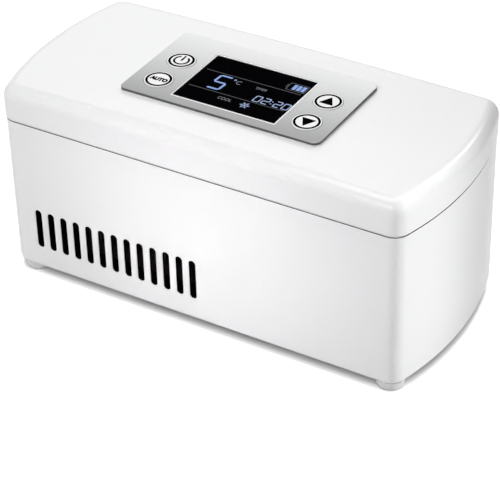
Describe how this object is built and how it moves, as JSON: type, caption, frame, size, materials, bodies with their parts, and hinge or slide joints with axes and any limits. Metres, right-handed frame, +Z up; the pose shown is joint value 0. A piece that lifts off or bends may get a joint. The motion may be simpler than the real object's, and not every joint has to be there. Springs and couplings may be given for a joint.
{
  "type": "insulin cooling case",
  "caption": "Portable thermoelectric cooler for insulin pens: white bow-ended case with vent slots, hinged lid, display and push buttons.",
  "frame": {"origin": "centre of the footprint, hinge included, on the plane that the feet stand on", "axes": "+X along the case to the right as seen from the front, +Y to the rear where the hinge is, +Z up"},
  "size_m": [0.22, 0.1064, 0.1046],
  "materials": {
    "white_gloss": "gloss moulded",
    "inner_white": "satin moulded",
    "panel_silver": "satin silver",
    "alloy": "satin",
    "black_alloy": "black anodised",
    "steel": "plated",
    "black_plastic": "moulded",
    "display_glass": "gloss",
    "ceramic": "matte",
    "foam": "closed-cell foam",
    "board_green": "solder mask",
    "wrap_blue": "heat-shrunk film",
    "seal_rubber": "silicone"
  },
  "bodies": {
    "base": {"lower_housing": "white_gloss", "base_cover": "white_gloss", "battery_door": "white_gloss", "foot_front_left": "white_gloss", "foot_front_right": "white_gloss", "foot_rear_left": "white_gloss", "foot_rear_right": "white_gloss", "base_screw_front_left": "steel", "base_screw_front_right": "steel", "base_screw_rear_left": "steel", "base_screw_rear_right": "steel", "door_screw_left": "steel", "door_screw_right": "steel", "fan_frame": "black_plastic", "fan_screw_front": "steel", "fan_screw_rear": "steel", "heat_sink": "black_alloy", "peltier_module": "ceramic", "cold_block": "alloy", "clamp_screw_left": "steel", "clamp_screw_right": "steel", "cooling_chamber": "alloy", "insulation_tub": "foam", "chamber_deck": "inner_white", "battery_cradle": "black_plastic", "battery_pack": "wrap_blue", "battery_lead": "black_plastic", "battery_plug": "black_plastic", "battery_socket": "ceramic", "main_board": "board_green", "power_inductor": "black_plastic", "filter_capacitor": "alloy", "control_chip": "black_plastic", "power_inlet": "black_plastic", "inlet_nut": "steel", "hinge_pin_left": "steel", "hinge_pin_right": "steel"},
    "lid": {"lid_shell": "white_gloss", "control_panel": "panel_silver", "display_window": "display_glass", "display_module": "black_plastic", "display_board": "board_green", "power_switch": "black_plastic", "auto_switch": "black_plastic", "up_switch": "black_plastic", "down_switch": "black_plastic", "lid_liner": "inner_white", "lid_foam": "foam", "lid_gasket": "seal_rubber", "lid_screw_front_left": "steel", "lid_screw_front_right": "steel", "lid_screw_rear_left": "steel", "lid_screw_rear_right": "steel"},
    "fan": {"fan_rotor": "black_plastic"},
    "power_key": {"power_button": "white_gloss"},
    "auto_key": {"auto_button": "white_gloss"},
    "up_key": {"up_button": "white_gloss"},
    "down_key": {"down_button": "white_gloss"}
  },
  "joints": [
    {"name": "lid_hinge", "type": "hinge", "parent": "base", "child": "lid", "pos_m": [0, 0.0502, 0.0845], "axis": [-1, 0, 0], "range_deg": [0, 105]},
    {"name": "fan_spin", "type": "hinge", "parent": "base", "child": "fan", "pos_m": [-0.0442, -0.0032, 0.013], "axis": [0, 0, 1], "continuous": true},
    {"name": "power_press", "type": "slide", "parent": "lid", "child": "power_key", "axis": [0, 0, -1], "range_m": [0, 0.0005], "stiffness_N_per_m": 400},
    {"name": "auto_press", "type": "slide", "parent": "lid", "child": "auto_key", "axis": [0, 0, -1], "range_m": [0, 0.0005], "stiffness_N_per_m": 400},
    {"name": "up_press", "type": "slide", "parent": "lid", "child": "up_key", "axis": [0, 0, -1], "range_m": [0, 0.0005], "stiffness_N_per_m": 400},
    {"name": "down_press", "type": "slide", "parent": "lid", "child": "down_key", "axis": [0, 0, -1], "range_m": [0, 0.0005], "stiffness_N_per_m": 400}
  ]
}
